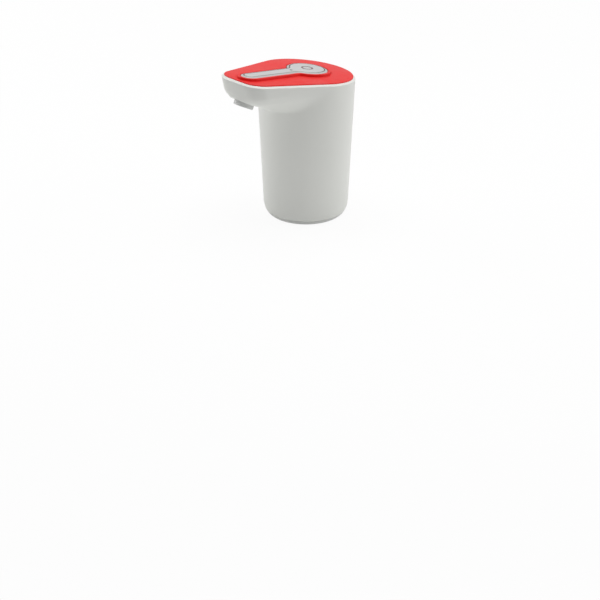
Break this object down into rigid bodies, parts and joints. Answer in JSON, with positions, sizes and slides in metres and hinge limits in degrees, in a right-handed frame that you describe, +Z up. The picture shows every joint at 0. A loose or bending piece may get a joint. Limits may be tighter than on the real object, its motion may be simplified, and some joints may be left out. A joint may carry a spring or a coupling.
{
  "type": "bottled water pump",
  "caption": "Rechargeable pump for a large water bottle's neck: tapered round body, flat beak spout with a stub nozzle, sloping lid with a keyhole-shaped press key.",
  "frame": {"origin": "centre of the base plate's underside, the plane on which the bottle's mouth seats, on the axis of the neck socket", "axes": "+Z up along the neck socket's axis, -Y towards the spout, +X across; the part is close to symmetric about the YZ plane"},
  "size_m": [0.0676, 0.0987, 0.1136],
  "materials": {
    "white_shell": "satin moulded",
    "red_lid": "satin moulded",
    "grey_key": "satin moulded",
    "silver_film": "fine satin film",
    "clear_lens": "clear moulded",
    "grey_nozzle": "satin moulded",
    "base_plastic": "satin moulded",
    "black_plastic": "satin moulded",
    "white_silicone": "matt silicone",
    "clear_silicone": "smooth silicone",
    "black_rubber": "matt rubber",
    "steel": "plated steel",
    "brass": "bare brass",
    "copper": "enamelled copper windings",
    "ferrite": "sintered ferrite",
    "cell_wrap": "shrink sleeve",
    "board": "solder mask"
  },
  "bodies": {
    "housing": {"body_shell": "white_shell", "lid": "red_lid", "outlet_nozzle": "grey_nozzle", "base_plate": "base_plastic", "neck_seal": "white_silicone", "inlet_barb": "base_plastic", "inlet_o_ring": "black_rubber", "pump_head": "base_plastic", "valve_plate": "base_plastic", "diaphragm": "clear_silicone", "pump_housing": "black_plastic", "pump_screw_1": "steel", "pump_screw_2": "steel", "pump_screw_3": "steel", "motor_can": "steel", "magnet_left": "ferrite", "magnet_right": "ferrite", "motor_end_cap": "black_plastic", "cell": "cell_wrap", "control_board": "board", "tact_switch": "black_plastic", "charge_lamp": "clear_lens", "charge_socket": "steel", "socket_tongue": "black_plastic", "outlet_hose": "clear_silicone", "base_screw_1": "steel", "base_screw_2": "steel", "base_screw_3": "steel", "base_screw_4": "steel", "board_screw_1": "steel", "board_screw_2": "steel", "board_screw_3": "steel", "board_screw_4": "steel"},
    "key": {"press_key": "grey_key", "key_face": "silver_film", "status_lens": "clear_lens"},
    "plunger": {"switch_plunger": "grey_nozzle"},
    "rotor": {"motor_shaft": "steel", "rotor": "copper", "commutator": "brass", "crank": "grey_nozzle"},
    "wobble": {"wobble_plate": "grey_nozzle"}
  },
  "joints": [
    {"name": "key_press", "type": "slide", "parent": "housing", "child": "key", "axis": [0, 0, -1], "range_m": [0, 0.0008], "stiffness_N_per_m": 1500, "springref_m": -0.0004},
    {"name": "plunger_press", "type": "slide", "parent": "housing", "child": "plunger", "axis": [0, 0, -1], "range_m": [0, 0.00055]},
    {"name": "crank_spin", "type": "hinge", "parent": "housing", "child": "rotor", "pos_m": [0, 0.0115, 0.025], "axis": [0, 0, 1], "continuous": true},
    {"name": "wobble_turn", "type": "hinge", "parent": "rotor", "child": "wobble", "pos_m": [0, 0.0115, 0.0208], "axis": [0.1045, 0, 0.9945], "continuous": true}
  ],
  "couplings": [
    {"joint": "plunger_press", "follows": "key_press", "ratio": 0.6875},
    {"joint": "wobble_turn", "follows": "crank_spin", "ratio": -1}
  ]
}
